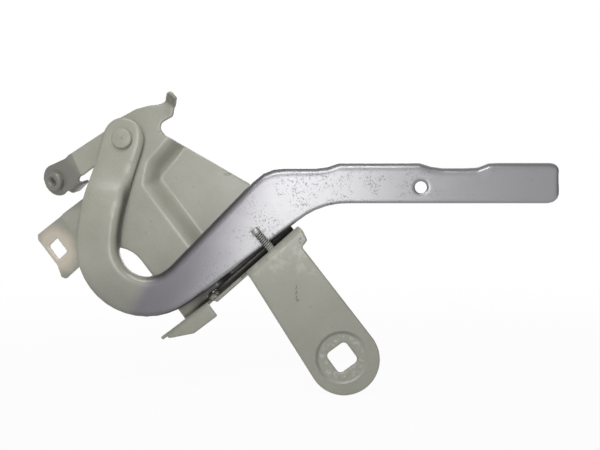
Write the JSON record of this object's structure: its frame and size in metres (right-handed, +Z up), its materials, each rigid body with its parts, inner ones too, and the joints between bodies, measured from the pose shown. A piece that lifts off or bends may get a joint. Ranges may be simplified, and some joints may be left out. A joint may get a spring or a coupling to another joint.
{
  "type": "bonnet hinge",
  "caption": "Gooseneck bonnet hinge: a hooked pressed-steel arm turns on a riveted pivot against a body bracket with a bolted leg, ears and a stud.",
  "frame": {"origin": "centre of the square bolt hole in the leg, on the face that seats against the body", "axes": "+X along the bonnet flange towards its free end, +Y along the pivot towards the body, +Z up with the bonnet shut"},
  "size_m": [0.3846, 0.0437, 0.2153],
  "materials": {
    "bracket_paint": "satin grey-green body primer",
    "arm_paint": "satin silver paint over grey primer",
    "plated_steel": "zinc plated",
    "bush_bronze": "sintered bronze"
  },
  "bodies": {
    "bracket": {"body_bracket": "bracket_paint", "mounting_leg": "bracket_paint", "pivot_rivet": "bracket_paint", "pivot_washer": "plated_steel", "shelf_stud": "plated_steel", "ear_nut": "bracket_paint"},
    "arm": {"gooseneck_arm": "arm_paint", "pivot_bush": "bush_bronze"}
  },
  "joints": [
    {"name": "arm_pivot", "type": "hinge", "parent": "bracket", "child": "arm", "pos_m": [-0.15821, 0.022, 0.15463], "axis": [0, -1, 0], "range_deg": [0, 60]}
  ]
}
